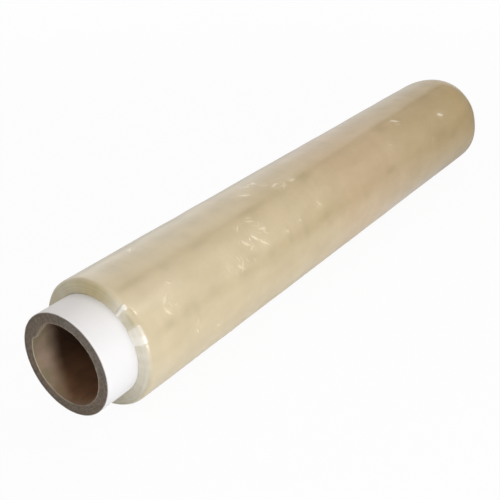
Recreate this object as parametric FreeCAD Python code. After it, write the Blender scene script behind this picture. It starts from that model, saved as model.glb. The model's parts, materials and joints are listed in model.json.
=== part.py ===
"""Cling film roll: clear food film wound on a spiral paperboard core that is covered in white paper.

The roll lies on its side along X and rests on z = 0. Its wide core stub points to -X, and the film stops
almost flush with the core at +X. The origin is under the middle of the core, on the surface.
"""

import FreeCAD, Part

import math
import os

# Core, in millimetres
CORE_LENGTH = 475.0
CORE_OUTSIDE = 63.5  # diameter over the white cover paper
CORE_BORE = 50.0  # diameter of the hole that a dispenser's spindle enters
COVER_PAPER = 0.35  # thickness of the white outer ply
BORE_EDGE_BREAK = 0.5  # chamfer that the cutting knife and handling leave at the bore's two mouths

# Film winding, in millimetres
FILM_WIDTH = 450.0
FILM_OUTSIDE = 80.4  # diameter over the outermost turn
STUB_LENGTH = 23.75  # bare core at the -X end
NEAR_SHOULDER_LENGTH = 3.0  # rounding of the winding's -X rim, along the axis
NEAR_SHOULDER_DEPTH = 2.0  # and towards the axis
FAR_SHOULDER_LENGTH = 17.5  # at +X the outer turns neck in towards the core
FAR_SHOULDER_DEPTH = 8.0
REST_FLAT = 9.0  # width of the flat that the soft film takes where it lies

# Places along the axis
CORE_START = -CORE_LENGTH / 2
CORE_END = CORE_LENGTH / 2
FILM_START = CORE_START + STUB_LENGTH
FILM_END = FILM_START + FILM_WIDTH

# Radii, and the height of the core's axis above the surface: the flat is a chord of the winding's outside
BORE_RADIUS = CORE_BORE / 2
CORE_RADIUS = CORE_OUTSIDE / 2
BOARD_RADIUS = CORE_RADIUS - COVER_PAPER
FILM_RADIUS = FILM_OUTSIDE / 2
AXIS_HEIGHT = math.sqrt(FILM_RADIUS**2 - (REST_FLAT / 2) ** 2)

X_AXIS = FreeCAD.Vector(1, 0, 0)
FULL_TURN = 360.0  # degrees


def at(x, radius):
    """Point of a profile in the XZ plane, at that distance above the axis."""
    return FreeCAD.Vector(x, 0, AXIS_HEIGHT + radius)


def closed_outline(points):
    """Straight edges round these points and back to the first."""
    return [Part.makeLine(a, b) for a, b in zip(points, points[1:] + points[:1])]


def turned(edges):
    """Solid swept by a closed profile that turns once around the core's axis."""
    profile = Part.Face(Part.Wire(Part.__sortEdges__(edges)))
    return profile.revolve(FreeCAD.Vector(0, 0, AXIS_HEIGHT), X_AXIS, FULL_TURN)


def shoulder(rim_x, length, depth, towards):
    """Quarter ellipse that rounds the winding's rim. towards is -1 at the -X end and 1 at the +X end."""
    centre = at(rim_x - towards * length, FILM_RADIUS - depth)
    rim = centre + FreeCAD.Vector(towards * length, 0, 0)
    crest = centre + FreeCAD.Vector(0, 0, depth)
    return Part.ArcOfEllipse(Part.Ellipse(rim, crest, centre), 0, math.pi / 2).toShape()


def core_tube():
    """Spiral-wound board tube, glued from paper plies and cut to length."""
    outline = [
        at(CORE_START + BORE_EDGE_BREAK, BORE_RADIUS),
        at(CORE_START, BORE_RADIUS + BORE_EDGE_BREAK),
        at(CORE_START, BOARD_RADIUS),
        at(CORE_END, BOARD_RADIUS),
        at(CORE_END, BORE_RADIUS + BORE_EDGE_BREAK),
        at(CORE_END - BORE_EDGE_BREAK, BORE_RADIUS),
    ]
    return turned(closed_outline(outline))


def core_cover_paper():
    """White paper ply that closes the board tube's outside."""
    outline = [
        at(CORE_START, BOARD_RADIUS),
        at(CORE_START, CORE_RADIUS),
        at(CORE_END, CORE_RADIUS),
        at(CORE_END, BOARD_RADIUS),
    ]
    return turned(closed_outline(outline))


def space_below_surface():
    """Block under z = 0 that is wider and longer than the winding."""
    side = 2 * FILM_OUTSIDE
    return Part.makeBox(CORE_LENGTH, side, side, FreeCAD.Vector(CORE_START, -side / 2, -side))


def film_winding():
    """All turns of the film as one solid, with its rounded rims and the flat that it rests on."""
    near = shoulder(FILM_START, NEAR_SHOULDER_LENGTH, NEAR_SHOULDER_DEPTH, -1)
    far = shoulder(FILM_END, FAR_SHOULDER_LENGTH, FAR_SHOULDER_DEPTH, 1)
    near_face = Part.makeLine(at(FILM_START, CORE_RADIUS), at(FILM_START, FILM_RADIUS - NEAR_SHOULDER_DEPTH))
    outside = Part.makeLine(
        at(FILM_START + NEAR_SHOULDER_LENGTH, FILM_RADIUS), at(FILM_END - FAR_SHOULDER_LENGTH, FILM_RADIUS)
    )
    far_face = Part.makeLine(at(FILM_END, FILM_RADIUS - FAR_SHOULDER_DEPTH), at(FILM_END, CORE_RADIUS))
    inside = Part.makeLine(at(FILM_END, CORE_RADIUS), at(FILM_START, CORE_RADIUS))
    round_winding = turned([near_face, near, outside, far, far_face, inside])
    return round_winding.cut(space_below_surface()).Solids[0]


def main():
    os.makedirs("parts", exist_ok=True)
    for make_piece in (core_tube, core_cover_paper, film_winding):
        shape = make_piece()
        shape.exportStep(f"parts/{make_piece.__name__}.step")
        print(f"{make_piece.__name__}: valid {shape.isValid()}, {shape.Volume:.0f} mm3")


main()
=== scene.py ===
"""Cling film roll: the wound film, its paperboard core and the white paper round the core.

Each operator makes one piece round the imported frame, or sets the stage. Places and sizes are in metres. A
place on the roll is given by how far it is along X, how far it is from the core's axis, and its angle round
that axis, which is 0 on top and grows towards -Y.
"""

import json
import math
from collections import namedtuple
from random import Random

import bmesh
import bpy
import numpy as np
from bpy.props import FloatProperty, FloatVectorProperty, PointerProperty
from bpy.types import NodeSocket, Operator, Panel, PropertyGroup
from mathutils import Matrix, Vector, noise


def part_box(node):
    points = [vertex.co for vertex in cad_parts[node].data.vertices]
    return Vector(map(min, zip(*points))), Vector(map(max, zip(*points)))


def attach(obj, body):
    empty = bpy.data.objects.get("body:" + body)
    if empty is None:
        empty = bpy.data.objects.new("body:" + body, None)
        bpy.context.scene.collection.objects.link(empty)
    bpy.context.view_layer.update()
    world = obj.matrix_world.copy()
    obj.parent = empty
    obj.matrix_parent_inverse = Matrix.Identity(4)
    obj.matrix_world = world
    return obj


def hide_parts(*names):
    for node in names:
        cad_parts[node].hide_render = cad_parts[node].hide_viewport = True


bl_info = {
    "name": "Cling Film Roll",
    "version": (1, 0, 0),
    "blender": (4, 5, 0),
    "location": "View3D > Sidebar > Film Roll",
    "description": "Makes the wound film, the paperboard core and its cover paper round the packed frame",
    "category": "Object",
}

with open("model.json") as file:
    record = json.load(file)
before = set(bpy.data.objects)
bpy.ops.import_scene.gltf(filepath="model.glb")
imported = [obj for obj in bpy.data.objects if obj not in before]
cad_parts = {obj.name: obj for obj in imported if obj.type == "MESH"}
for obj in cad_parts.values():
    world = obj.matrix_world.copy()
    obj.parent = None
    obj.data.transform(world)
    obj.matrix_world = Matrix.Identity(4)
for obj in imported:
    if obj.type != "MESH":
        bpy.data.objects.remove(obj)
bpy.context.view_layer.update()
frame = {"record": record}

MM = 0.001

# ---- sizes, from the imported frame

BOARD_LOW, BOARD_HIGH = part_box("core_tube")
PAPER_LOW, PAPER_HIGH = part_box("core_cover_paper")
FILM_LOW, FILM_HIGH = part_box("film_winding")

CORE_START, CORE_END = BOARD_LOW.x, BOARD_HIGH.x
FILM_START, FILM_END = FILM_LOW.x, FILM_HIGH.x
AXIS_HEIGHT = (BOARD_LOW.z + BOARD_HIGH.z) / 2
BOARD_RADIUS = (BOARD_HIGH.z - BOARD_LOW.z) / 2
CORE_RADIUS = (PAPER_HIGH.z - PAPER_LOW.z) / 2
FILM_RADIUS = FILM_HIGH.z - AXIS_HEIGHT
MOUNTS = {mount["name"]: mount for mount in frame["record"]["mounts"]}
BORE_RADIUS = MOUNTS["core_bore"]["dims"]["r_mm"] * MM

# ---- what a user may change


def number(name, description, default, **kind):
    return FloatProperty(name=name, description=description, default=default, min=0, **kind)


def length(name, description, millimetres):
    return number(name, description, millimetres * MM, unit="LENGTH", precision=5)


def direction(name, description, degrees):
    return FloatProperty(name=name, description=description, default=math.radians(degrees), subtype="ANGLE")


def colour(name, description, default):
    return FloatVectorProperty(
        name=name, description=description, default=default, min=0, max=1, size=3, subtype="COLOR"
    )


class FilmSettings(PropertyGroup):
    near_colour: colour("Near colour", "Film at the end with the bare stub", (0.69, 0.585, 0.395))
    middle_colour: colour("Middle colour", "Film at the middle of the roll", (0.69, 0.525, 0.325))
    far_colour: colour("Far colour", "Film at the other end", (0.625, 0.46, 0.225))
    edge_colour: colour("Edge colour", "Cut edges of the turns on the end face", (0.6, 0.49, 0.22))
    # Whitened edges of the turns: partly air between them, partly painted light and painted highlights
    loose_and_lit_colour: colour("Loose edge colour", "Edges that air between the turns whitens", (0.97, 0.93, 0.84))
    # Folds: partly whitened by air trapped in them, partly a painted highlight for the glints on the creases
    fold_and_glint_colour: colour("Fold colour", "Folded film, whitened by the air in it", (0.9, 0.79, 0.6))
    core_gap: length("Core gap", "Narrow gap between the innermost turns and the core's paper", 0.4)
    near_shoulder: length("Near shoulder", "Rounding of the rim beside the stub, along the axis", 4.2)
    near_drop: length("Near drop", "Rounding of the rim beside the stub, towards the axis", 3.2)
    face_slope: length("Face slope", "How far the outer turns stand back on the near end face", 1.2)
    far_neck: length("Far neck", "Where the outer turns neck in at the other end", 32)
    far_drop: length("Far drop", "How far the outer turns neck in", 8.4)
    band_height: length("Band height", "Bands round the roll where the film is thicker", 0.08)
    swell_height: length("Swell height", "Slow unevenness of the outside", 0.2)
    fold_height: length("Fold height", "Height of a strong fold trapped in the outer turn", 0.38)


class CoreSettings(PropertyGroup):
    board_colour: colour("Board colour", "Cut end of the paperboard", (0.22, 0.185, 0.145))
    liner_colour: colour("Liner colour", "Brown paper in the bore", (0.42, 0.225, 0.125))
    # Painted light: the pale liner near the cut end stands for the key lamp's light in the bore's mouth
    lit_mouth_colour: colour("Mouth colour", "Liner near the cut end, pale with dust", (0.43, 0.315, 0.235))
    # Pale torn fibres; also a painted highlight where the key lamp lights the rim
    burr_colour: colour("Burr colour", "Torn fibres on the bore's rim", (0.72, 0.62, 0.48))
    paper_colour: colour("Paper colour", "White cover paper", (0.88, 0.876, 0.9))
    ply: length("Ply", "Thickness of one ply of board", 0.49)
    push: length("Push", "How far the inner plies are pushed into the bore at its mouth", 2.6)
    strip: length("Strip", "Advance of the spiral plies in one turn", 96)


class StageSettings(PropertyGroup):
    floor_colour: colour("Floor colour", "Floor under the roll", (0.89, 0.92, 0.95))
    sky: number("Sky", "Strength of the even light from all round", 0.64)
    dim_side: number("Dim side", "Strength of the even light from -X", 0.33)
    key: number("Key", "Power of the main lamp", 1.22, unit="POWER")
    top: number("Top", "Power of the soft lamp over the bare stub", 0.25, unit="POWER")
    spark: number("Spark", "Power of the small lamp over the roll", 0.6, unit="POWER")
    room: number("Room", "How bright the soft card past the far end is", 0.95)
    lens: number("Lens", "Focal length of the camera", 63.85, unit="CAMERA")
    azimuth: direction("Azimuth", "Camera's angle round the roll", -54.44)
    elevation: direction("Elevation", "Camera's angle above the floor", 28.68)
    distance: length("Distance", "From the camera to the point it looks at", 596.6)


# ---- mesh making


SHARP_EDGE = math.radians(50)


def on_roll(along, radius, around):
    """Points in space from their places on the roll; those under the floor are pressed flat on to it."""
    height = np.maximum(AXIS_HEIGHT + radius * np.cos(around), 0)
    return np.stack([along, -radius * np.sin(around), height], axis=-1).reshape(-1, 3)


def loop_faces(rows, points, closed):
    """Faces between rows of points that each run round in a loop.

    A closed body's last row joins its first, and an open one gets a cap at each end.
    """
    index = np.arange(rows * points).reshape(rows, points)
    right = np.roll(index, -1, axis=1)
    below, below_right = np.roll(index, -1, axis=0), np.roll(right, -1, axis=0)
    faces = np.stack([index, below, below_right, right], axis=-1)
    if closed:
        return faces.reshape(-1, 4).tolist()
    return faces[:-1].reshape(-1, 4).tolist() + [index[0].tolist(), index[-1].tolist()]


# A body on the roll, without holes: arrays of its points' places, whether its last row joins its first, and
# numbers for its points by name
Body = namedtuple("Body", "along radius around closed marks", defaults=({},))


def solid_mesh(name, bodies):
    """One mesh from such bodies. A body without a mark that others have gets 0 for it."""
    vertices, faces = [], []
    for body in bodies:
        start = sum(len(part) for part in vertices)
        faces += [[start + corner for corner in face] for face in loop_faces(*body.along.shape, body.closed)]
        vertices.append(on_roll(body.along, body.radius, body.around))
    mesh = bpy.data.meshes.new(name)
    mesh.from_pydata(np.concatenate(vertices).tolist(), [], faces)
    shape = bmesh.new()
    shape.from_mesh(mesh)
    bmesh.ops.recalc_face_normals(shape, faces=shape.faces)
    shape.to_mesh(mesh)
    shape.free()
    for label in sorted({label for body in bodies for label in body.marks}):
        numbers = [np.broadcast_to(body.marks.get(label, 0), body.along.shape).ravel() for body in bodies]
        numbers = np.concatenate(numbers).astype(np.float32)
        mesh.attributes.new(label, "FLOAT", "POINT").data.foreach_set("value", numbers)
    mesh.shade_smooth()
    mesh.set_sharp_from_angle(angle=SHARP_EDGE)
    return mesh


def add_object(name, data):
    thing = bpy.data.objects.new(name, data)
    bpy.context.scene.collection.objects.link(thing)
    return thing


def add_piece(name, mesh, material, node):
    """Shows the mesh as a piece that rides on the roll in place of its CAD node."""
    piece = add_object(name, mesh)
    mesh.materials.append(material)
    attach(piece, "root")
    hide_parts(node)


def uneven(along, around, coarse_along, coarse_around, seed):
    """Smooth noise from -1 to 1, of those sizes in millimetres along the roll and round its outside."""
    squeeze = FILM_RADIUS / (coarse_around * MM)
    y, z = np.sin(around) * squeeze, np.cos(around) * squeeze
    x = along / (coarse_along * MM) + seed
    points = zip(x.ravel(), (y + seed).ravel(), (z - seed).ravel())
    return np.array([noise.noise(point) for point in points]).reshape(x.shape)


def uneven_round(around, size, seed):
    """The same noise where it changes only round the roll."""
    return uneven(np.zeros(around.shape), around, 1, size, seed)


def climb(value, start, over):
    """0 up to a start, then rising to 1 over that distance."""
    return np.clip((value - start) / over, 0, 1)


def steps(count):
    """A column of that many even steps from above 0 to 1."""
    return np.linspace(0, 1, count + 1)[1:, None]


def quarter(count):
    """Cosines and sines of the same steps of a quarter turn."""
    angles = math.pi / 2 * steps(count)
    return np.cos(angles), np.sin(angles)


# ---- film

# Folds trapped in the outer turn: where each starts, in millimetres from the film's start and in degrees, how
# far it slants from straight round the roll towards straight along it, its length in millimetres, how white
# and high it is next to a strong fold, and its half width in millimetres
# Their whitening is partly air trapped in them and partly a painted highlight for the glints on the creases
Fold = namedtuple("Fold", "start angle slant size white half_width")
FOLDS = (
    (24, 52, 38, 6.9, 0.72, 1.2), (26, 46, 20, 5, 0.25, 0.9), (28, 50, 20, 4, 0.4, 0.9),
    (30, 44, -49, 6.9, 0.4, 1.7), (30.5, 55.5, 60, 3.4, 0.3, 0.8), (35.5, 35, 50, 4, 0.2, 1.2),
    (41, 84.5, 45, 4, 0.65, 1.1), (44.5, -17, -39, 7.5, 1.1, 1.5), (44.5, 77, -11, 5.8, 0.25, 1.1),
    (59, 94.5, 51, 5.2, 0.4, 1.1), (80, 54, 23, 4.6, 0.35, 1.1), (84, 62, 30, 4, 0.15, 1),
    (86, 58, 10, 4, 0.2, 0.8), (89.5, 57.5, 35, 5.8, 0.65, 1.2), (91, 50, 9, 4.6, 0.4, 1.1),
    (94, 52, 20, 4, 0.2, 0.8), (95.5, 55.5, -39, 8.6, 0.5, 1.2), (98, 56, 30, 4, 0.2, 1.1),
    (102, 39.5, -60, 4, 0.2, 0.9), (103, 41, 39, 8.3, 0.62, 1.6), (104, 60, 40, 4, 0.2, 0.8),
    (108, 46, 50, 5, 0.25, 0.8), (110.5, 52, -73, 5.4, 0.48, 1.2), (110.8, 28, -51, 7, 0.45, 0.9),
    (111.5, 42, -50, 3.8, 0.5, 0.9), (112, 42.5, 52, 6.3, 0.85, 1.4), (113, 37, 60, 5, 0.12, 0.9),
    (115.5, 48, 45, 5.8, 0.6, 1.2), (116.5, 51, 48, 8, 0.82, 1.2), (116.5, 28, 45, 7.5, 0.45, 0.9),
    (118, 42, 60, 5, 0.25, 0.8), (119, 27, 75, 4.6, 0.35, 0.9), (120, 35, 60, 5, 0.25, 0.7),
    (121.5, 41, 78, 6.3, 0.58, 1.6), (123.5, 44.5, 61, 5.9, 0.35, 0.8), (127.5, 35.5, -55, 5.2, 0.3, 0.8),
    (135, -2, 51, 10.3, 1.1, 1.5), (141.5, 55.5, 74, 4.3, 0.45, 1.2), (144, -1, 60, 7, 0.3, 0.8),
    (147.5, 1, 65, 8, 0.2, 0.9), (149, -8, 60, 4.6, 1.1, 1.6), (152.5, -7, 52, 7, 1.6, 1.6),
    (156, 0, 65, 9.2, 0.3, 1.4), (158.5, 54, 50, 3.8, 0.4, 1.4), (162, 13.5, 66, 7.2, 1, 1.4),
    (167, 18, 70, 6.9, 0.4, 0.9), (171, 13, 40, 4, 0.35, 0.7), (175, 15.5, -66, 9.2, 0.5, 1.2),
    (178.5, 16, 58, 6.3, 0.9, 1.4), (180, 14.5, 75, 4, 0.4, 0.8), (184, 49, 17, 6, 0.5, 1.2),
    (294.5, 42, 70, 5.2, 0.35, 1.2), (321, 20, 70, 9.8, 0.9, 1.4), (322, 24.5, 68, 8, 0.25, 0.8),
    (358.5, 60, -35, 6.9, 0.15, 1.1), (380.5, 43, 73, 8, 1.6, 1.6),
)

# Loose groups of folds on the other side: the middle of each in the same units, its spread along the roll and
# round it in millimetres, the number of folds in it, and their usual slant and length
FOLD_GROUPS = (
    (70, -140, 8, 5, 7, 40, 6), (205, -105, 10, 5, 8, 70, 7),
    (330, -80, 8, 5, 6, 40, 6), (150, 165, 10, 4, 7, 50, 6),
)


def all_folds():
    """The folds above, and those of the loose groups."""
    random = Random(11)
    folds = [Fold(*row) for row in FOLDS]
    for start, angle, reach, arc, count, slant, size in FOLD_GROUPS:
        for _ in range(count):
            folds.append(Fold(
                start + random.gauss(0, reach),
                angle + math.degrees(random.gauss(0, arc) * MM / FILM_RADIUS),
                slant + random.gauss(0, 15),
                size * random.uniform(0.5, 1.5),
                random.uniform(0.2, 0.8),
                random.uniform(0.5, 0.9),
            ))
    return folds


def outside_lift(along, around, settings):
    """How far the outer turn stands off a true cylinder: bands round the roll, and slow swells."""
    bands = uneven(along, around, 17, 200, 3)
    swells = uneven(along, around, 26, 15, 9)
    return settings.band_height * bands + settings.swell_height * swells


def sector(angle, low, high, soft=1.5):
    """1 between two angles in degrees and 0 beyond them, with soft edges of that many degrees."""
    degrees = np.degrees(angle)
    rise = np.clip((degrees - low) / soft + 0.5, 0, 1)
    return rise * np.clip((high - degrees) / soft + 0.5, 0, 1)


# Places on the near end face by their angles in degrees: a lip of loose turns bent outwards, the part of its
# rim with a painted highlight, a streak that runs out from the core to a tab on the rim, a small pleat, a
# patch pressed flat, and a lower side where the rim is painted darker, a painted shade. The lip, streak, tab
# and
# pleat are whitened: partly loose film and partly painted highlights for the glints on them
LIP = (53.5, 69.5)
LIP_HIGHLIGHT_RIM = (53.5, 61)
STREAK = (33.3, 36.3)
TAB = (32.9, 37.3)
PLEAT = (75.5, 78.5)
PRESSED = (40, 52)
SHADED_LOWER_RIM = (98, 172)

# How much the lip stands out along its arc, how much more rounded its rim is along the axis and towards it,
# and how far what stands out is lifted off the outside and off the face
LIP_ANGLES = (53.5, 60.5, 63, 69.5)
LIP_SHARES = (0.6, 0.65, 0.9, 0.95)
LIP_SHOULDER, LIP_DROP = 1.2 * MM, 1.4 * MM
LIFT_OUT, LIFT_FORWARD = 0.25 * MM, 0.45 * MM

# How unevenly the turns end, one against the next and round the roll
TURN_STEP, SCALLOP = 0.12 * MM, 0.35 * MM

# How much the edges round the near end face are whitened at these angles in degrees: partly air between the
# turns, and partly painted light, more on the side towards the key lamp and less on top and towards the floor
LOOSE_AND_LIT_ANGLES = (-180, -120, -60, -45, -30, -12, 8, 20, 30, 42, 50, 56, 68, 72, 90, 110, 130, 150, 180)
LOOSE_AND_LIT_SHARES = (
    0.2, 0.25, 0.32, 0.42, 0.4, 0.16, 0.15, 0.34, 0.65, 0.64,
    0.42, 0.6, 0.7, 0.66, 0.56, 0.42, 0.24, 0.12, 0.15,
)

# How rounded the rim beside the stub is at these angles in degrees, as shares of its full rounding
RIM_ANGLES = (-180, -70, -35, 8, 35, 115, 145, 180)
RIM_SHARES = (0.5, 0.6, 0.65, 0.65, 1, 1, 0.5, 0.45)

# The same for the other end: how long the neck is and how far it drops, as shares of the most
NECK_ANGLES = (-180, -120, -75, -45, -20, 0, 20, 40, 60, 80, 100, 125, 180)
NECK_SHARES = (0.3, 0.5, 0.68, 0.78, 0.9, 0.82, 0.7, 0.8, 0.88, 1, 0.52, 0.32, 0.3)
DROP_SHARES = (0.45, 0.7, 0.9, 0.92, 0.95, 1, 1, 1, 0.88, 0.88, 0.82, 0.45, 0.45)


def by_angle(around, angles, shares, soft=6):
    """A share that changes smoothly round the roll, given at some angles in degrees."""
    degrees = np.degrees(around)
    return sum(np.interp(degrees + away, angles, shares, period=360) for away in (-soft, 0, soft)) / 3


# Rows of points from the inside of the near end face to its rim, round the rim, along the outside, round the
# neck at the other end, and over the end face there
FACE_ROWS, RIM_ROWS, OUTSIDE_ROWS, NECK_ROWS, FAR_ROWS = 22, 12, 190, 17, 12

# Arcs of the film in degrees and the angle between their points, which are closest at the tab and at the lip
FILM_ARCS = (
    (-180, 20, 2), (20, 30, 1), (30, 40, 0.45), (40, 52, 1), (52, 82, 0.6), (82, 110, 1), (110, 180, 2),
)
FILM_ANGLES = np.concatenate([np.arange(low, high, step) for low, high, step in FILM_ARCS])


def near_end_rows(around, settings):
    """The end face beside the stub, from a narrow gap round the core to the rounded rim.

    Gives the along and radius of each point, and how far it belongs to the face.
    """
    gap = settings.core_gap
    inner = CORE_RADIUS + gap
    lip = sector(around, *LIP, 1)[None, :]
    soft = np.interp(np.degrees(around), RIM_ANGLES, RIM_SHARES)[None, :]
    shoulder = settings.near_shoulder * soft + LIP_SHOULDER * lip
    drop = settings.near_drop * soft + LIP_DROP * lip
    out = np.linspace(0, 1, FACE_ROWS)[:, None]
    face_radius = inner + out * (FILM_RADIUS - drop - inner)
    cosine, sine = quarter(RIM_ROWS)
    rim_radius = FILM_RADIUS - drop * (1 - sine)
    radius = np.concatenate([face_radius, rim_radius])
    along = FILM_START + settings.face_slope * (radius - inner) / (FILM_RADIUS - inner)
    along[out.size:] += shoulder * (1 - cosine)
    on_face = np.concatenate([np.ones(face_radius.shape), np.repeat(cosine, around.size, axis=1)])
    gap_along = FILM_START + np.array([[0.9], [0.8], [0.25]]) * gap + 0 * lip
    gap_radius = CORE_RADIUS + np.array([[0], [0.5], [0.85]]) * gap + 0 * lip
    pairs = (gap_along, along), (gap_radius, radius), (np.ones(gap_along.shape), on_face)
    return [np.concatenate(pair) for pair in pairs]


def looseness_and_light(angle, radius):
    """How far the turns' edges are whitened, and how far a point stands out.

    The whitening is partly air between the turns and partly painted light: more on the side towards the key
    lamp, with painted highlights on the lip's rim and on what stands out, and painted shade on the lower rim.
    What stands out from the near end face is the lip, the streak, the tab and the pleat.
    """
    out = (radius - CORE_RADIUS) / (FILM_RADIUS - CORE_RADIUS)
    loose = np.interp(np.degrees(angle), LOOSE_AND_LIT_ANGLES, LOOSE_AND_LIT_SHARES)
    loose += 0.14 * uneven_round(angle, 5, 61)
    # Painted shade: the rim is less whitened on its lower side, from 98 to 172 degrees, towards the floor
    loose *= 1 - 0.6 * climb(out, 0.72, 0.14) * sector(angle, *SHADED_LOWER_RIM, 14)
    lip = sector(angle, *LIP) * np.interp(np.degrees(angle), LIP_ANGLES, LIP_SHARES)
    # Painted highlight: the lip's rim is whitened more from 53.5 to 61 degrees
    lip *= 1 + 0.3 * climb(out, 0.7, 0.2) * sector(angle, *LIP_HIGHLIGHT_RIM, 2)
    streak = sector(angle, *STREAK, 1)
    tab = sector(angle, *TAB, 1.2) * climb(out, 0.72, 0.1)
    pleat = sector(angle, *PLEAT, 2.5) * climb(out, 0.9, 0.08) * 0.55
    raised = np.maximum.reduce([lip, streak, tab, pleat])
    pressed = sector(angle, *PRESSED, 4) * np.exp(-(((out - 0.72) / 0.14) ** 2))
    return np.clip(loose - 0.3 * pressed, 0, 1), raised


# A fold's section, from one foot over its crest to the other foot and back under the film: how far across it
# each point is, how high and how white it is, all as shares of the most, how deep it is buried, and how deep
# the feet are
FOLD_ACROSS = np.array([-1, -0.55, -0.15, 0.15, 0.55, 1, 1, -1])
FOLD_CREST = np.array([0, 0.3, 1, 1, 0.3, 0, 0, 0])
FOLD_WHITE = np.array([0, 0.65, 1, 1, 0.65, 0, 0, 0])
FOLD_BURIED = np.array([0, 0, 0, 0, 0, 0, 1, 1]) * 0.35 * MM
FOLD_FOOT = 0.02 * MM
FOLD_STEPS = 19

# How far a fold's fading ends run on past its length, as a share of it, and how many folds fork
OVERRUN = 0.15
FORK_SHARE = 0.3


def crease(random, fold, settings):
    """A closed ridge along a crooked path over the outer turn, sharp on top and pointed at both ends.

    Also gives the fold that a fork of it would be.
    """
    turns = np.array([random.gauss(0, 0.07) for _ in range(FOLD_STEPS)])
    turns[random.randrange(3, FOLD_STEPS - 3)] += random.choice((-1, 1)) * random.uniform(0.1, 0.6)
    slant = math.radians(fold.slant)
    headings = slant + np.cumsum(turns) - turns.sum() / 2
    step = (1 + 2 * OVERRUN) * fold.size * MM / FOLD_STEPS
    before = OVERRUN * fold.size * MM
    path_along = fold.start * MM + np.cumsum(np.sin(headings)) * step - before * math.sin(slant)
    path_round = np.cumsum(np.cos(headings)) * step - before * math.cos(slant)
    travel = np.linspace(-1, 1, FOLD_STEPS)
    places = np.linspace(-1, 1, 6)
    uneven_width = np.interp(travel, places, [random.uniform(0.85, 1.4) for _ in places])[:, None]
    patchy = np.interp(travel, places, [random.uniform(0.6, 1) for _ in places])[:, None]
    taper = np.clip(1 - np.abs(travel) ** 1.7, 0.06, 1)[:, None]
    off = FOLD_ACROSS * fold.half_width * MM * taper * uneven_width
    along = FILM_START + path_along[:, None] + off * np.cos(headings)[:, None]
    around = math.radians(fold.angle) + (path_round[:, None] - off * np.sin(headings)[:, None]) / FILM_RADIUS
    foot = FILM_RADIUS + outside_lift(along, around, settings) - FOLD_FOOT
    height = settings.fold_height * (0.25 + 0.65 * fold.white)
    radius = foot - FOLD_BURIED + FOLD_CREST * height * taper
    whitened = FOLD_WHITE * np.sqrt(taper) * patchy * 1.2 * fold.white
    middle = FOLD_STEPS // 2
    side = random.choice((-1, 1)) * random.uniform(30, 60)
    fork = Fold(
        path_along[middle] / MM,
        fold.angle + math.degrees(path_round[middle] / FILM_RADIUS),
        math.degrees(headings[middle]) + side,
        fold.size * 0.5,
        fold.white * 0.8,
        fold.half_width * 0.7,
    )
    return Body(along, radius, around, False, {"folded": whitened}), fork


def trapped_folds(settings):
    """Creases in the outer turn, some of which fork."""
    random = Random(12)
    creases = []
    for fold in all_folds():
        body, fork = crease(random, fold, settings)
        creases.append(body)
        if random.random() < FORK_SHARE:
            creases.append(crease(random, fork, settings)[0])
    return creases


# Darker spots on the outer turn. Most lie along the two dark lines reflected near 22 and 65 degrees and paint
# their wobble, a painted reflection; the others are clearer, darker film where the turns cling tightly. Each
# gives how far it is from the film's start in millimetres, its angle in degrees, and how far it reaches along
# the roll and, before the stretch, round it
SPOT_STRETCH = 1.3
DARK_SPOTS = (
    (39, 65, 6, 3), (63, 64, 7, 4), (92, 67, 5, 2.5), (105, 60, 7, 2), (121, 66, 4, 2.5), (145, 64, 3, 4),
    (162.5, 66, 3, 4.5), (189, 67, 7, 3), (22, 67, 4, 2), (44, 66, 4, 6), (75, 24, 9, 2), (130, 22, 12, 2),
    (192, 22, 9, 3), (15, 22, 12, 2), (284, 66, 8, 2.5), (372, 65, 8, 3), (90, -120, 12, 5),
    (260, -60, 16, 4), (310, 160, 14, 5), (60, 140, 9, 4), (190, 75, 5, 3), (42, 25, 6, 3), (325, 3, 8, 4),
    (392, 14, 8, 3), (304, 20, 6, 3), (242, 75, 5, 3), (392, 74, 6, 3), (136, 9, 5, 4), (74, 11, 4, 3),
    (330, 22, 5, 3),
)


def dark_spot_share(along, around):
    """How far a point of the outer turn is in a dark spot, most of which paint a reflection."""
    clear = np.zeros(along.shape)
    for start, angle, reach_along, reach_round in DARK_SPOTS:
        away = (along - FILM_START - start * MM) / (reach_along * MM)
        round_away = (around - math.radians(angle)) * FILM_RADIUS / (reach_round * SPOT_STRETCH * MM)
        clear = np.maximum(clear, np.exp(-(away**2 + round_away**2)))
    return clear


HAZE_REACH = 4 * MM


def crushed(along, around):
    """How near a point of the outer turn is to the middle of a fold, where the film is a little hazy."""
    haze = np.zeros(along.shape)
    for fold in all_folds():
        slant = math.radians(fold.slant)
        middle = FILM_START + (fold.start + math.sin(slant) * fold.size / 2) * MM
        middle_angle = math.radians(fold.angle) + math.cos(slant) * fold.size / 2 * MM / FILM_RADIUS
        away = np.hypot(along - middle, (around - middle_angle) * FILM_RADIUS)
        haze = np.maximum(haze, fold.white * np.exp(-((away / HAZE_REACH) ** 2)))
    return haze


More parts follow.
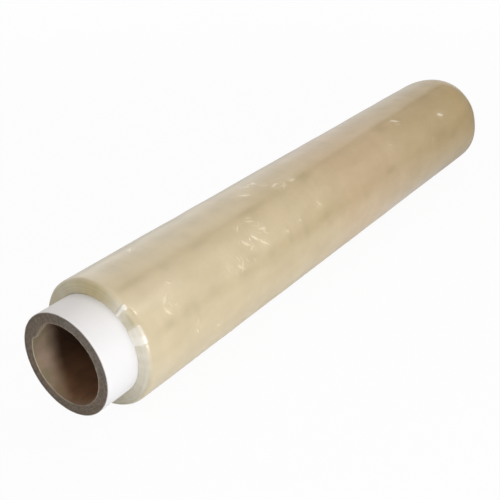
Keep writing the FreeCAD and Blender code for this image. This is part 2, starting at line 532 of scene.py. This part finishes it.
def film_mesh(settings):
    """All turns as one body, with the folds trapped in the outer turn."""
    around = np.radians(FILM_ANGLES)
    near_along, near_radius, near_face = near_end_rows(around, settings)
    neck = settings.far_neck * by_angle(around, NECK_ANGLES, NECK_SHARES)
    drop = settings.far_drop * by_angle(around, NECK_ANGLES, DROP_SHARES)
    outside_end = FILM_END - settings.far_neck
    outside = near_along[-1] + (outside_end - near_along[-1]) * steps(OUTSIDE_ROWS)
    cosine, sine = quarter(NECK_ROWS)
    necking = FILM_END - neck * (1 - sine)
    neck_radius = FILM_RADIUS - drop * (1 - cosine)
    end_radius = neck_radius[-1] + (CORE_RADIUS - neck_radius[-1]) * steps(FAR_ROWS)
    along = np.concatenate([near_along, outside, necking, np.full(end_radius.shape, FILM_END)])
    radius = np.concatenate([near_radius, np.full(outside.shape, FILM_RADIUS), neck_radius, end_radius])
    face = np.zeros(along.shape)
    face[:near_face.shape[0]] = near_face
    necked = np.zeros(along.shape)
    necked[-FAR_ROWS:] = 1
    necked[-FAR_ROWS - NECK_ROWS:-FAR_ROWS] = 1 - cosine
    angle = np.repeat(around[None, :], along.shape[0], axis=0)
    reach = climb(radius, CORE_RADIUS, FILM_RADIUS - CORE_RADIUS) ** 2
    off_core = np.clip(reach * 20, 0, 1)
    turns = uneven(radius, angle, 0.3, 60, 5) * TURN_STEP
    scallop = uneven_round(angle, 14, 21) * SCALLOP
    loose, raised = looseness_and_light(angle, radius)
    raised = raised * climb(face, 0.3, 0.25)
    # What stands out is whitened fully: partly loose film, partly a painted highlight for the glints on it
    loose = loose * (1 - raised) + raised
    radius = radius + outside_lift(along, angle, settings) * reach
    radius = radius + necked * turns * off_core + LIFT_OUT * raised * reach
    along = along + face * (turns + scallop * reach) - LIFT_FORWARD * raised * np.clip(face * 1.5, 0, 1)
    along[-FAR_ROWS:] += turns[-FAR_ROWS:] * off_core[-FAR_ROWS:]
    marks = {
        "on_face": np.maximum.reduce([face, raised, (necked - 0.35) * 1.6]),
        "loose": loose,
        "crushed": crushed(along, angle),
        # Dark spots, mostly a painted reflection
        "clear": dark_spot_share(along, angle),
    }
    winding = Body(along, radius, angle, True, marks)
    return solid_mesh("wound_film", [winding, *trapped_folds(settings)])


# ---- core and its paper


# How far the inner plies at the bare stub's mouth are pushed into the bore at these angles in degrees, as
# shares of the most, and how far in from the mouth that reaches
PUSH_ANGLES = (-73, -65, -60, -48, -40, -26)
PUSH_SHARES = (0, 0.85, 1, 1, 0.7, 0)
PUSH_REACH = 5 * MM

# Section of one ply on a cut end: where its points are, as shares of its thickness, and which are in a groove
PLY_SECTION = ((0.06, 1), (0.3, 0), (0.7, 0), (0.94, 1))
PLY_GROOVE = 0.07 * MM

# How rough a cut end is, and how wide and high the torn fibres round the bore are
ROUGH_CUT = 0.12 * MM
BURR_WIDTH, BURR_HEIGHT = 0.35 * MM, 0.3 * MM

# Angles of the points round the tube, and rows of them along the bore, close together at the mouth and then
# as far in as one can see, and on the stub
TUBE_ANGLES = np.linspace(-math.pi, math.pi, 301)[:-1]
MOUTH_ROWS = np.array([0.25, 0.6, 1.2, 2, 3, 4.2, 5.6, 7.2]) * MM
BORE_ROWS = np.linspace(9 * MM, 90 * MM, 50)
STUB_ROWS = 34


def tube_rows(along, radius):
    """Points all round the tube at each point of a profile: their along, radius and angle."""
    along, angle = np.meshgrid(along, TUBE_ANGLES, indexing="ij")
    return along, np.repeat(radius[:, None], TUBE_ANGLES.size, axis=1), angle


def tube_mesh(settings):
    """Board tube: bore wall, cut ends with the edges of its plies, and the hidden outside."""
    plies = max(round((BOARD_RADIUS - BORE_RADIUS) / settings.ply), 1)
    ply = (BOARD_RADIUS - BORE_RADIUS) / plies
    places = [layer + part for layer in range(plies) for part, _ in PLY_SECTION]
    radii = BORE_RADIUS + np.array(places) * ply
    grooves = np.array([groove * PLY_GROOVE for _, groove in PLY_SECTION] * plies)
    wall = np.concatenate([CORE_START + MOUTH_ROWS, CORE_START + BORE_ROWS, [0, CORE_END - 0.3 * MM]])
    along = np.concatenate([wall, CORE_END - grooves, (CORE_START + grooves)[::-1]])
    radius = np.concatenate([np.full(wall.shape, BORE_RADIUS), radii, radii[::-1]])
    along, radius, angle = tube_rows(along, radius)
    near = slice(wall.size + radii.size, None)
    along[near] += ROUGH_CUT * uneven(radius[near], angle[near], 0.4, 7, 31)
    burr = np.exp(-((radius[near] - BORE_RADIUS) / BURR_WIDTH) ** 2)
    along[near] -= burr * BURR_HEIGHT * (0.6 + uneven_round(angle[near], 3, 41))
    in_board = (radius - BORE_RADIUS) / (BOARD_RADIUS - BORE_RADIUS)
    cut = np.ones(along.shape)
    cut[:wall.size] = 0
    pushed = np.interp(np.degrees(angle), PUSH_ANGLES, PUSH_SHARES)
    pushed *= 1 + 0.15 * uneven_round(angle, 4, 71)
    fades = np.exp(-(((along - CORE_START) / PUSH_REACH) ** 2)) * (1 - in_board) ** 1.5
    radius = radius - settings.push * pushed * fades
    return solid_mesh("board_tube", [Body(along, radius, angle, True, {"cut": cut, "in_board": in_board})])


def paper_mesh():
    """Cover paper: thin sleeve over the board, its cut edge on the stub a little ragged."""
    stub = np.linspace(CORE_START, FILM_START + 2 * MM, STUB_ROWS)
    outside = np.concatenate([stub, [0, FILM_END, CORE_END]])
    inside = np.array([CORE_END, FILM_END, CORE_START])
    radius = np.concatenate([np.full(outside.shape, CORE_RADIUS), np.full(inside.shape, BOARD_RADIUS)])
    along, radius, angle = tube_rows(np.concatenate([outside, inside]), radius)
    edge = np.isclose(along, CORE_START)
    along = along + edge * uneven_round(angle, 5, 51) * ROUGH_CUT
    return solid_mesh("cover_paper", [Body(along, radius, angle, True)])


# ---- materials


class Nodes:
    """A tree of nodes while it is laid out."""

    def __init__(self, tree):
        self.tree = tree

    def add(self, kind, inputs=None, **settings):
        node = self.tree.nodes.new("ShaderNode" + kind)
        for key, value in settings.items():
            setattr(node, key, value)
        for key, value in (inputs or {}).items():
            self.feed(node.inputs[key], value)
        return node

    def feed(self, socket, value):
        if isinstance(value, NodeSocket):
            self.tree.links.new(value, socket)
        else:
            socket.default_value = value

    def maths(self, operation, *values):
        return self.add("Math", dict(enumerate(values)), operation=operation).outputs[0]

    def times(self, a, b):
        return self.maths("MULTIPLY", a, b)

    def hypotenuse(self, a, b):
        return self.maths("SQRT", self.maths("ADD", self.maths("POWER", a, 2), self.maths("POWER", b, 2)))

    def span(self, value, low, high, to_low=0, to_high=1, mode="LINEAR"):
        inputs = {"Value": value, "From Min": low, "From Max": high, "To Min": to_low, "To Max": to_high}
        return self.add("MapRange", inputs, interpolation_type=mode).outputs[0]

    def white_to_the_eye(self, lit, output, to_camera, in_gloss):
        """Ends the tree in a lit shader with plain white mixed over it.

        The share of white is one for rays from the camera, and another for those of glossy or clear pieces.
        """
        path = self.add("LightPath").outputs
        seen = self.times(path["Is Camera Ray"], to_camera)
        for ray in ("Is Glossy Ray", "Is Transmission Ray"):
            seen = self.maths("MAXIMUM", seen, self.times(path[ray], in_gloss))
        white = self.add("Emission").outputs[0]
        mixed = self.add("MixShader", {0: seen, 1: lit, 2: white}).outputs[0]
        self.feed(self.tree.nodes[output].inputs["Surface"], mixed)


class Finish(Nodes):
    """A procedural material while its nodes are laid out."""

    def __init__(self, name):
        self.material = bpy.data.materials.new(name)
        self.material.use_nodes = True
        super().__init__(self.material.node_tree)
        self.shader = self.tree.nodes["Principled BSDF"]
        self.place = self.add("TexCoord").outputs["Object"]
        split = self.add("SeparateXYZ", {"Vector": self.place})
        self.x = split.outputs["X"]
        self.y = split.outputs["Y"]
        self.z = self.maths("SUBTRACT", split.outputs["Z"], AXIS_HEIGHT)
        self.bumped = None

    def noise(self, along, across, detail=2, rough=0.5):
        """Noise from 0 to 1 with those typical sizes along the roll and across it, in millimetres."""
        scale = [1 / (size * MM) for size in (along, across, across)]
        stretched = self.add("Mapping", {"Vector": self.place, "Scale": scale})
        inputs = {"Vector": stretched.outputs[0], "Scale": 1, "Detail": detail, "Roughness": rough}
        return self.add("TexNoise", inputs).outputs["Fac"]

    def streaks(self, value, count, detail):
        """Noise from 0 to 1 that changes only with a value, about so many times while that grows by 1."""
        inputs = {"W": self.times(value, count), "Scale": 1, "Detail": detail}
        return self.add("TexNoise", inputs, noise_dimensions="1D").outputs["Fac"]

    def mark(self, name):
        """The number of that name which the mesh gives each of its points."""
        return self.add("Attribute", attribute_name=name).outputs["Fac"]

    def ramp(self, factor, *stops, mode="EASE"):
        """Colours or numbers at places from 0 to 1."""
        node = self.add("ValToRGB", {"Fac": factor})
        band = node.color_ramp
        band.interpolation = mode
        while len(band.elements) < len(stops):
            band.elements.new(1)
        for element, (place, value) in zip(band.elements, stops):
            element.position = place
            element.color = (*value, 1) if hasattr(value, "__len__") else (value, value, value, 1)
        return node.outputs["Color"]

    def mix(self, factor, a, b, blend="MIX"):
        node = self.add("Mix", data_type="RGBA", blend_type=blend)
        self.feed(node.inputs["Factor"], factor)
        for socket, value in ((node.inputs[6], a), (node.inputs[7], b)):
            self.feed(socket, value if isinstance(value, NodeSocket) else (*value, 1))
        return node.outputs[2]

    def angle(self):
        """Angle round the axis: 0 on top, growing towards -Y."""
        return self.maths("ARCTAN2", self.times(self.y, -1), self.z)

    def around(self):
        """That angle from 0 to 1: 0.5 on top."""
        return self.span(self.angle(), -math.pi, math.pi)

    def from_axis(self):
        return self.hypotenuse(self.y, self.z)

    def seam(self, strip, turn, half_width):
        """1 on a spiral seam and 0 beside it. Its half width is a share of the strip's advance in a turn."""
        place = self.maths("FRACT", self.maths("ADD", self.maths("DIVIDE", self.x, strip), turn))
        return self.span(self.maths("PINGPONG", place, 0.5), 0, half_width, 1, 0)

    def bump(self, height, millimetres):
        inputs = {"Height": height, "Distance": millimetres * MM, "Strength": 1}
        if self.bumped:
            inputs["Normal"] = self.bumped
        self.bumped = self.add("Bump", inputs).outputs[0]
        self.feed(self.shader.inputs["Normal"], self.bumped)

    def set(self, **sockets):
        """Sets the shader's sockets: words in a name are joined by underscores."""
        for name, value in sockets.items():
            value = (*value, 1) if hasattr(value, "__len__") else value
            self.feed(self.shader.inputs[name.replace("_", " ")], value)


def shade(colour, share):
    return [share * part for part in colour]


# Colours of the film between those of its settings, and tints that multiply them
NEAR_MIDDLE = (0.675, 0.545, 0.335)
MIDDLE_FAR = (0.65, 0.5, 0.285)
CLOUDED = (0.86, 0.83, 0.76)
SHEEN_BAND_TINT = (0.89, 0.9, 0.91)
GRAINED = (0.93, 0.92, 0.89)
DARK_SPOT_TINT = (0.9, 0.9, 0.88)

# End face: the edges of the turns painted greyer away from the top, most at the bottom, a painted reflection
# and shade, and the gaps between turns
GREY_EDGE_REFLECTION = (0.51, 0.455, 0.33)
TURN_GAP = (0.3, 0.24, 0.12)
TURNS_PER_METRE = 1500


def film_finish(settings):
    """Many turns of clear film: pale straw by depth, glossy and a little cloudy."""
    finish = Finish("wound_film")
    outside = finish.ramp(
        finish.span(finish.x, FILM_START, FILM_END),
        (0, settings.near_colour), (0.42, NEAR_MIDDLE), (0.5, settings.middle_colour),
        (0.62, settings.middle_colour), (0.75, MIDDLE_FAR), (1, settings.far_colour),
        mode="LINEAR",
    )
    cloud = finish.noise(30, 15, detail=3, rough=0.55)
    outside = finish.mix(finish.span(cloud, 0.35, 0.7, 0, 0.6), outside, CLOUDED, "MULTIPLY")
    # Noise bands that dim the film a little: at a third of their strength all round as the film's own tone,
    # and fully from -36 to -7 degrees along the top edge as a painted reflection, the uneven sheen there
    sheen_band_noise = finish.noise(13, 50, detail=3)
    turn = finish.around()
    sheen_bands = finish.ramp(turn, (0, 0.35), (0.35, 0.4), (0.4, 1), (0.48, 1), (0.54, 0.35), (1, 0.35))
    sheen_bands = finish.times(finish.span(sheen_band_noise, 0.35, 0.65, 1, 0), sheen_bands)
    outside = finish.mix(sheen_bands, outside, SHEEN_BAND_TINT, "MULTIPLY")
    grain = finish.noise(4, 6, detail=3, rough=0.6)
    outside = finish.mix(finish.span(grain, 0.3, 0.7, 0.3, 0), outside, GRAINED, "MULTIPLY")
    haze = finish.times(finish.mark("crushed"), finish.span(grain, 0.35, 0.65, 0.03, 0.28))
    outside = finish.mix(haze, outside, settings.fold_and_glint_colour)
    # Darkens the dark spots: mostly a painted reflection of the dark lines' wobble, partly clearer clinging
    # film
    outside = finish.mix(finish.mark("clear"), outside, DARK_SPOT_TINT, "MULTIPLY")
    # Folds: partly whitened by trapped air, partly a painted highlight for the glints on them
    outside = finish.mix(finish.mark("folded"), outside, settings.fold_and_glint_colour)

    loose = finish.mark("loose")
    # Painted reflection and shade: the edges are greyer away from the top, olive only from -43 to 29 degrees
    cold = finish.ramp(turn, (0, 1), (0.2, 0.6), (0.38, 0), (0.58, 0), (0.68, 0.6), (0.85, 1), (1, 1))
    edge = finish.mix(cold, settings.edge_colour, GREY_EDGE_REFLECTION)
    # Whitened edges: partly air between the turns, partly painted light and painted highlights
    edge = finish.mix(loose, edge, settings.loose_and_lit_colour)
    rings = finish.streaks(finish.from_axis(), TURNS_PER_METRE, detail=2)
    ringed = finish.times(finish.span(rings, 0.35, 0.7, 0, 0.3), finish.span(loose, 0, 1, 1, 0))
    edge = finish.mix(ringed, edge, TURN_GAP)
    on_face = finish.mark("on_face")
    finish.set(
        Base_Color=finish.mix(finish.span(on_face, 0.45, 0.95), outside, edge),
        Roughness=finish.span(cloud, 0.3, 0.7, 0.29, 0.38),
        IOR=1.5,
        Specular_IOR_Level=0.5,
        Coat_Weight=0.6,
        Coat_Roughness=0.16,
        Coat_IOR=1.5,
    )
    finish.bump(finish.times(rings, on_face), 0.12)
    return finish.material


# Cut end of the board: clumps of fibre, gaps between plies, specks, stains, knife marks and the outer plies
CLUMP = (0.13, 0.095, 0.065)
PLY_GAP = (0.08, 0.06, 0.05)
DARK_SPECK = (0, 0, 0)
PALE_SPECK = (0.6, 0.52, 0.43)
WARM_STAIN = (0.27, 0.175, 0.125)
COLD_STAIN = (0.27, 0.245, 0.24)
KNIFE_MARK = (0.27, 0.24, 0.21)
OUTER_PLIES = (0.105, 0.1, 0.095)
KNIFE_MARKS_ROUND = 160

# Bore: darker and redder patches in the painted light at the mouth, and the gap at the liner's seam
MOUTH_DARK_PATCH = (0.35, 0.285, 0.18)
MOUTH_RED_PATCH = (0.47, 0.33, 0.245)
LINER_SEAM = (0.09, 0.06, 0.04)

# Where the fibres torn from the bore's rim end, out from the bore, and where the painted light in its mouth
# ends
BURR_FADES = (0.45 * MM, 1.05 * MM)
LIT_MOUTH_FADES = (CORE_START + 9 * MM, CORE_START + 21 * MM)


def board_finish(settings):
    """Raw paperboard: ply lines and fibres on the cut end, brown liner with its spiral seam in the bore,
    paler at the mouth with painted light and darker deeper in with painted shade.
    """
    finish = Finish("core_board")
    in_board = finish.mark("in_board")
    from_bore = finish.times(in_board, BOARD_RADIUS - BORE_RADIUS)
    turn = finish.around()
    fibres = finish.noise(1.2, 0.7, detail=5, rough=0.7)
    clumps = finish.noise(4, 3, detail=4, rough=0.6)
    specks = finish.noise(2, 1.1, detail=2)
    dark, light = shade(settings.board_colour, 0.62), shade(settings.board_colour, 1.12)
    cut = finish.mix(finish.span(fibres, 0.35, 0.65), dark, light)
    cut = finish.mix(finish.span(specks, 0.3, 0.7, 0.25, 0), cut, DARK_SPECK)
    cut = finish.mix(finish.span(specks, 0.45, 0.8, 0, 0.32), cut, PALE_SPECK)
    cut = finish.mix(finish.span(clumps, 0.4, 0.7, 0, 0.55), cut, CLUMP)
    ply_line = finish.maths("PINGPONG", finish.maths("DIVIDE", from_bore, settings.ply), 0.5)
    cut = finish.mix(finish.span(ply_line, 0, 0.14, 0.4, 0), cut, PLY_GAP)
    stain = finish.noise(5, 2.2, detail=4, rough=0.65)
    cold = finish.ramp(turn, (0, 0.1), (0.42, 0.1), (0.53, 0.9), (0.7, 0.9), (0.78, 0.1), (1, 0.1))
    stained = finish.mix(cold, WARM_STAIN, COLD_STAIN)
    cut = finish.mix(finish.span(stain, 0.42, 0.66, 0, 0.75), cut, stained)
    knife = finish.streaks(turn, KNIFE_MARKS_ROUND, detail=4)
    cut = finish.mix(finish.span(knife, 0.4, 0.7, 0, 0.2), cut, KNIFE_MARK)
    outer = finish.ramp(turn, (0, 0.3), (0.15, 1), (0.35, 1), (0.45, 0.2), (0.8, 0.1), (1, 0.3))
    outer = finish.times(finish.span(in_board, 0.75, 0.95, 0, 0.5), outer)
    cut = finish.mix(outer, cut, OUTER_PLIES)
    # Torn fibres round the bore's rim, paler: partly their own colour, partly a painted highlight, strongest
    # from -130 to -101 degrees, where the key lamp lights the rim
    torn_and_lit = finish.ramp(
        turn,
        (0, 0.4), (0.07, 0.6), (0.14, 1), (0.22, 0.95), (0.27, 0.7), (0.34, 0.35), (0.4, 0.3), (0.44, 0.1),
        (0.8, 0.16), (0.93, 0.1), (1, 0.4),
    )
    burr_edge = finish.maths("ADD", from_bore, finish.span(clumps, 0.3, 0.7, -0.3 * MM, 0.3 * MM))
    rim = finish.span(burr_edge, *BURR_FADES, 1, 0)
    cut = finish.mix(finish.times(rim, torn_and_lit), cut, settings.burr_colour)

    seam = finish.seam(settings.strip, turn, 0.006)
    mottle = finish.noise(12, 8, detail=4)
    liner = settings.liner_colour
    liner = finish.mix(finish.span(mottle, 0.35, 0.65), liner, shade(liner, 0.75))
    patches = finish.noise(7, 9, detail=3)
    # Painted light: the liner near the mouth is paler, as far in as the key lamp lights the bore at each
    # angle
    mouth = finish.mix(finish.span(patches, 0.4, 0.62), settings.lit_mouth_colour, MOUTH_DARK_PATCH)
    mouth = finish.mix(finish.span(mottle, 0.5, 0.68, 0, 0.8), mouth, MOUTH_RED_PATCH)
    lit_mouth_tone = finish.ramp(turn, (0, 1), (0.2, 1), (0.24, 0.78), (0.31, 0.74), (0.4, 1), (1, 1))
    mouth = finish.mix(1, mouth, lit_mouth_tone, "MULTIPLY")
    # Painted shade: the liner deeper in the bore is darkened, most from -101 to -79 degrees, least at the
    # bottom
    painted_bore_shade = finish.ramp(
        turn,
        (0, 1), (0.05, 1), (0.09, 0.85), (0.14, 0.5), (0.18, 0.2), (0.22, 0.08), (0.28, 0.08), (0.33, 0.2),
        (0.45, 0.4), (0.7, 0.5), (0.85, 0.8), (1, 1),
    )
    liner = finish.mix(painted_bore_shade, shade(settings.liner_colour, 0.2), liner)
    # How much shallower the painted light at the mouth is at each angle: deepest near -79 degrees, least at
    # the bottom
    lit_depth_cut = finish.ramp(
        turn,
        (0, 1), (0.06, 0.75), (0.12, 0.3), (0.2, 0.05), (0.28, 0), (0.31, 0.25), (0.4, 0.4), (1, 1),
    )
    inward = finish.maths("ADD", finish.x, finish.span(mottle, 0, 1, -3 * MM, 4 * MM))
    inward = finish.maths("ADD", inward, finish.span(lit_depth_cut, 0, 1, 0, 14 * MM))
    liner = finish.mix(finish.span(inward, *LIT_MOUTH_FADES), mouth, liner)
    liner = finish.mix(finish.times(seam, 0.6), liner, LINER_SEAM)
    in_bore = finish.span(finish.mark("cut"), 0.4, 0.6, 1, 0)
    finish.set(
        Base_Color=finish.mix(in_bore, cut, liner),
        Roughness=finish.span(fibres, 0.3, 0.7, 0.8, 0.95),
        Specular_IOR_Level=0.3,
    )
    finish.bump(fibres, 0.16)
    finish.bump(finish.times(seam, in_bore), -0.2)
    return finish.material


# Cover paper: cloudier places, the gap at its seam, where that lies in a turn, and the cut edge
CLOUDY_PAPER = (0.845, 0.845, 0.865)
PAPER_SEAM = (0.55, 0.52, 0.48)
PAPER_SEAM_TURN = 0.28
PAPER_EDGE = (0.42, 0.38, 0.34)


def paper_finish(settings):
    """White cover paper: faint fibres, and a butt seam that runs round the core in a spiral."""
    finish = Finish("core_paper")
    fibres = finish.noise(0.8, 0.8, detail=4, rough=0.6)
    cloud = finish.noise(16, 12, detail=2)
    tint = finish.mix(finish.span(cloud, 0.3, 0.7, 0, 0.5), settings.paper_colour, CLOUDY_PAPER)
    seam = finish.seam(settings.strip, finish.maths("ADD", finish.around(), PAPER_SEAM_TURN), 0.004)
    tint = finish.mix(finish.times(seam, 0.45), tint, PAPER_SEAM)
    cut_end = finish.span(finish.x, CORE_START + 0.1 * MM, CORE_START + 0.3 * MM, 0.8, 0)
    finish.set(
        Base_Color=finish.mix(cut_end, tint, PAPER_EDGE),
        Roughness=finish.span(fibres, 0.3, 0.7, 0.55, 0.7),
        Specular_IOR_Level=0.4,
    )
    finish.bump(fibres, 0.05)
    finish.bump(seam, -0.15)
    return finish.material


# ---- stage


# Half the floor's width, and how much plain white covers it for the camera near the roll and in gloss
FLOOR_HALF = 3
FLOOR_WHITE_NEAR = 0.95
FLOOR_WHITE_IN_GLOSS = 0.33

WORLD_COLOUR = (1, 0.97, 0.92, 1)
TOP_LAMP_COLOUR = (1, 0.94, 0.84)
LOOK_AT = Vector((CORE_START + 164.5 * MM, -6.2 * MM, AXIS_HEIGHT))


def add_floor(settings):
    corners = [(x * FLOOR_HALF, y * FLOOR_HALF, 0) for x, y in ((-1, -1), (1, -1), (1, 1), (-1, 1))]
    mesh = bpy.data.meshes.new("floor")
    mesh.from_pydata(corners, [], [(0, 1, 2, 3)])
    finish = Finish("floor")
    finish.set(Base_Color=settings.floor_colour, Roughness=1, Specular_IOR_Level=0)
    to_camera = finish.span(finish.hypotenuse(finish.x, finish.y), 0.3, 1.2, FLOOR_WHITE_NEAR, 1)
    finish.white_to_the_eye(finish.shader.outputs[0], "Material Output", to_camera, FLOOR_WHITE_IN_GLOSS)
    mesh.materials.append(finish.material)
    add_object("floor", mesh)


def set_world(settings):
    """Even light from all round, dimmer from -X and a little dimmer from +Y."""
    world = bpy.data.worlds.new("studio")
    world.use_nodes = True
    nodes = Nodes(world.node_tree)
    way = nodes.add("TexCoord").outputs["Generated"]
    split = nodes.add("SeparateXYZ", {0: way}).outputs
    strength = nodes.span(split["X"], -0.9, 0.2, settings.dim_side, settings.sky, mode="SMOOTHSTEP")
    strength = nodes.times(strength, nodes.span(split["Y"], -0.2, 1, 1, 0.82))
    light = nodes.tree.nodes["Background"]
    nodes.feed(light.inputs["Color"], WORLD_COLOUR)
    nodes.feed(light.inputs["Strength"], strength)
    nodes.white_to_the_eye(light.outputs[0], "World Output", 1, 1)
    bpy.context.scene.world = world


def add_sheen_card(settings):
    """Soft card seen only in gloss, upright past the far end with a foot on the floor.

    Its +Y side is bright, and its -Y side is dim near the roll and brighter further out. A narrow dark gap
    overhead leans over near the roll, and a strip low down is dimmer.
    """
    near, far, left, right, top = 0.1, 0.95, 2.2, -1.7, 1.7
    beside_roll = -0.45 * FILM_RADIUS
    upright = [(far, left, 0), (far, left, top), (far, right, top), (far, right, 0)]
    foot = [(near, beside_roll, MM), (far, beside_roll, MM), (far, right, MM), (near, right, MM)]
    mesh = bpy.data.meshes.new("sheen_card")
    mesh.from_pydata(upright + foot, [], [(0, 1, 2, 3), (4, 5, 6, 7)])
    card = add_object("sheen_card", mesh)
    card.visible_camera = card.visible_diffuse = card.visible_shadow = card.visible_transmission = False
    finish = Finish("sheen_card")
    degrees = finish.maths("DEGREES", finish.angle())
    from_axis = finish.from_axis()
    quarters = finish.span(degrees, -90, 90)
    side = finish.ramp(
        quarters,
        (0, 0), (0.36, 0), (0.5, 0.2), (0.64, 0.28), (0.7, 0.35), (0.78, 0.38), (0.9, 0.33), (1, 0.36),
        mode="LINEAR",
    )
    outward = finish.ramp(
        finish.span(from_axis, 0.4, 1.4),
        (0, 0.15), (0.27, 0.15), (0.35, 0.28), (0.46, 0.4), (0.73, 0.42), (1, 0.75),
        mode="LINEAR",
    )
    beside = finish.times(finish.times(side, outward), 5)
    above = finish.span(degrees, -30, 5, settings.room, 0, mode="SMOOTHSTEP")
    above = finish.times(above, finish.span(from_axis, 0.4, 1.5, 0.74, 1.42))
    leaning = finish.maths("ADD", degrees, finish.span(from_axis, 0.43, 1, 14, 0))
    gap = finish.ramp(finish.span(leaning, -90, 90), (0, 1), (0.42, 1), (0.455, 0.1), (0.475, 0.1), (0.51, 1))
    low = finish.ramp(quarters, (0, 1), (0.91, 1), (0.95, 0.4), (1, 0.3))
    on_upright = finish.times(finish.maths("ADD", beside, above), finish.times(gap, low))
    along_foot = finish.span(finish.x, near, 0.45)
    on_foot = finish.ramp(along_foot, (0, 0.7), (0.35, 0.5), (1, 0.22), mode="LINEAR")
    is_upright = finish.maths("GREATER_THAN", finish.x, far - MM)
    glow = finish.add("Mix", {"Factor": is_upright, "A": on_foot, "B": on_upright}).outputs[0]
    finish.set(Base_Color=(0, 0, 0), Specular_IOR_Level=0, Emission_Color=(1, 1, 1), Emission_Strength=glow)
    mesh.materials.append(finish.material)


def aim(thing, place, way):
    """Puts a lamp or the camera at a place, looking that way."""
    thing.location = place
    thing.rotation_mode = "QUATERNION"
    thing.rotation_quaternion = way.to_track_quat("-Z", "Y")


def add_lamp(name, place, target, width, height, power, tint=(1, 1, 1)):
    data = bpy.data.lights.new(name, "AREA")
    data.shape = "RECTANGLE"
    data.size, data.size_y = width, height
    data.energy = power
    data.color = tint
    aim(add_object(name, data), place, Vector(target) - Vector(place))


def add_camera(settings):
    data = bpy.data.cameras.new("camera")
    data.lens = settings.lens
    data.clip_start, data.clip_end = 0.01, 20
    a, e = settings.azimuth, settings.elevation
    back = Vector((math.sin(a) * math.cos(e), -math.cos(a) * math.cos(e), math.sin(e)))
    camera = add_object("camera", data)
    aim(camera, LOOK_AT + back * settings.distance, -back)
    bpy.context.scene.camera = camera


# ---- operators


class FILMROLL_OT_wind_film(Operator):
    """Makes the wound film with its rounded rims, creases and bands"""

    bl_idname = "filmroll.wind_film"
    bl_label = "Wind Film"

    def execute(self, context):
        settings = context.scene.filmroll_film
        add_piece("wound_film", film_mesh(settings), film_finish(settings), "film_winding")
        return {"FINISHED"}


class FILMROLL_OT_make_tube(Operator):
    """Makes the paperboard tube with its cut plies and lined bore"""

    bl_idname = "filmroll.make_tube"
    bl_label = "Make Board Tube"

    def execute(self, context):
        settings = context.scene.filmroll_core
        add_piece("board_tube", tube_mesh(settings), board_finish(settings), "core_tube")
        return {"FINISHED"}


class FILMROLL_OT_cover_core(Operator):
    """Makes the white paper that covers the core"""

    bl_idname = "filmroll.cover_core"
    bl_label = "Cover Core"

    def execute(self, context):
        settings = context.scene.filmroll_core
        add_piece("cover_paper", paper_mesh(), paper_finish(settings), "core_cover_paper")
        return {"FINISHED"}


class FILMROLL_OT_set_stage(Operator):
    """Sets the floor, the lamps, the even light and the camera"""

    bl_idname = "filmroll.set_stage"
    bl_label = "Set Stage"

    def execute(self, context):
        settings = context.scene.filmroll_stage
        context.scene.view_settings.view_transform = "Standard"
        add_floor(settings)
        set_world(settings)
        near_end = Vector((CORE_START, 0, AXIS_HEIGHT))
        add_lamp("key", near_end + Vector((-0.147, -0.528, 0.05)), near_end, 0.09, 0.17, settings.key)
        add_lamp("top", (-0.15, 0.02, 0.5), (-0.15, 0, AXIS_HEIGHT), 0.3, 0.3, settings.top, TOP_LAMP_COLOUR)
        add_lamp("spark", (0.15, -0.45, 0.6), (-0.1, 0, AXIS_HEIGHT), 0.1, 0.1, settings.spark)
        add_sheen_card(settings)
        add_camera(settings)
        return {"FINISHED"}


class FILMROLL_PT_sidebar(Panel):
    bl_idname = "FILMROLL_PT_sidebar"
    bl_label = "Cling Film Roll"
    bl_space_type = "VIEW_3D"
    bl_region_type = "UI"
    bl_category = "Film Roll"

    def draw(self, context):
        for operator in OPERATORS:
            self.layout.operator(operator.bl_idname)
        for name in SETTINGS:
            box = self.layout.box()
            group = getattr(context.scene, name)
            for field in group.bl_rna.properties:
                if field.identifier not in ("rna_type", "name"):
                    box.prop(group, field.identifier)


SETTINGS = {"filmroll_film": FilmSettings, "filmroll_core": CoreSettings, "filmroll_stage": StageSettings}
OPERATORS = (FILMROLL_OT_wind_film, FILMROLL_OT_make_tube, FILMROLL_OT_cover_core, FILMROLL_OT_set_stage)


def register():
    for cls in (*SETTINGS.values(), *OPERATORS, FILMROLL_PT_sidebar):
        bpy.utils.register_class(cls)
    for name, cls in SETTINGS.items():
        setattr(bpy.types.Scene, name, PointerProperty(type=cls))


def unregister():
    for name in SETTINGS:
        delattr(bpy.types.Scene, name)
    for cls in (FILMROLL_PT_sidebar, *OPERATORS, *SETTINGS.values()):
        bpy.utils.unregister_class(cls)


def main():
    register()
    bpy.ops.filmroll.wind_film()
    bpy.ops.filmroll.make_tube()
    bpy.ops.filmroll.cover_core()
    bpy.ops.filmroll.set_stage()
    bpy.context.view_layer.update()


if __name__ == "__main__":
    main()
